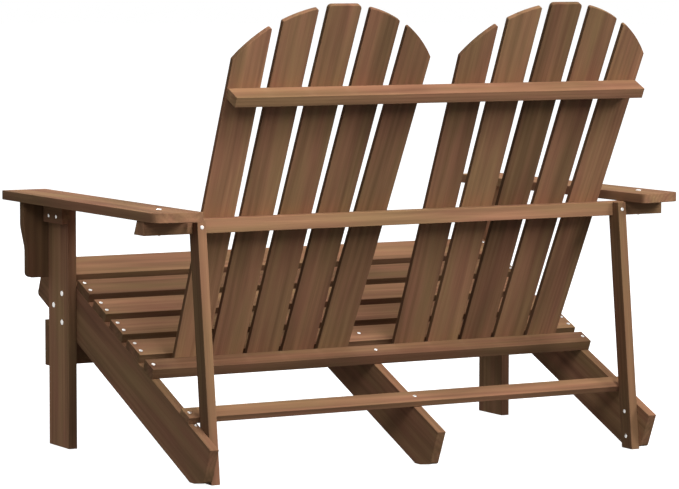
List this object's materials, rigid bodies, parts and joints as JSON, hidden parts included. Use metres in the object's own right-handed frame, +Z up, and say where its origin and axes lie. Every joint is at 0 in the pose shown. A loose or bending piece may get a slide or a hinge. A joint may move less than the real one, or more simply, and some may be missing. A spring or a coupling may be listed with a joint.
{
  "type": "adirondack loveseat",
  "caption": "Two-seat garden adirondack bench in brown stained wood, with a reclined double fan back, a sloping slatted seat and wide flat arms.",
  "frame": {"origin": "on the floor, under the middle of the overall width and depth", "axes": "+Z up; the sitter faces -Y, and the sitter's left hand is at +X"},
  "size_m": [1.21, 0.8408, 0.9208],
  "materials": {
    "stained_wood": "brown stain, satin, fine straight grain",
    "plated_steel": "pale zinc plated screws and bolts"
  },
  "bodies": {
    "root": {"arm_beam": "stained_wood", "upper_back_rail": "stained_wood", "front_apron": "stained_wood", "rear_seat_rail": "stained_wood", "foot_rail": "stained_wood", "centre_stringer": "stained_wood", "back_slat_left_1": "stained_wood", "back_slat_left_2": "stained_wood", "back_slat_left_3": "stained_wood", "back_slat_left_4": "stained_wood", "back_slat_left_5": "stained_wood", "back_slat_right_1": "stained_wood", "back_slat_right_2": "stained_wood", "back_slat_right_3": "stained_wood", "back_slat_right_4": "stained_wood", "back_slat_right_5": "stained_wood", "seat_slat_1": "stained_wood", "seat_slat_2": "stained_wood", "seat_slat_3": "stained_wood", "seat_slat_4": "stained_wood", "seat_slat_5": "stained_wood", "left_stringer": "stained_wood", "left_rear_post": "stained_wood", "left_front_leg": "stained_wood", "left_arm": "stained_wood", "left_corbel": "stained_wood", "left_arm_cleat": "stained_wood", "right_stringer": "stained_wood", "right_rear_post": "stained_wood", "right_front_leg": "stained_wood", "right_arm": "stained_wood", "right_corbel": "stained_wood", "right_arm_cleat": "stained_wood", "left_foot_screw_1": "plated_steel", "left_foot_screw_2": "plated_steel", "left_post_screw": "plated_steel", "left_leg_bolt_1": "plated_steel", "left_leg_bolt_2": "plated_steel", "left_leg_bolt_3": "plated_steel", "left_cleat_screw_1": "plated_steel", "left_cleat_screw_2": "plated_steel", "left_arm_bolt": "plated_steel", "right_foot_screw_1": "plated_steel", "right_foot_screw_2": "plated_steel", "right_post_screw": "plated_steel", "right_leg_bolt_1": "plated_steel", "right_leg_bolt_2": "plated_steel", "right_leg_bolt_3": "plated_steel", "right_cleat_screw_1": "plated_steel", "right_cleat_screw_2": "plated_steel", "right_arm_bolt": "plated_steel", "rear_seat_rail_screw_left": "plated_steel", "rear_seat_rail_screw_centre": "plated_steel", "rear_seat_rail_screw_right": "plated_steel", "foot_rail_screw_left": "plated_steel", "foot_rail_screw_centre": "plated_steel", "foot_rail_screw_right": "plated_steel", "left_heel_screw": "plated_steel", "right_heel_screw": "plated_steel"}
  },
  "joints": []
}
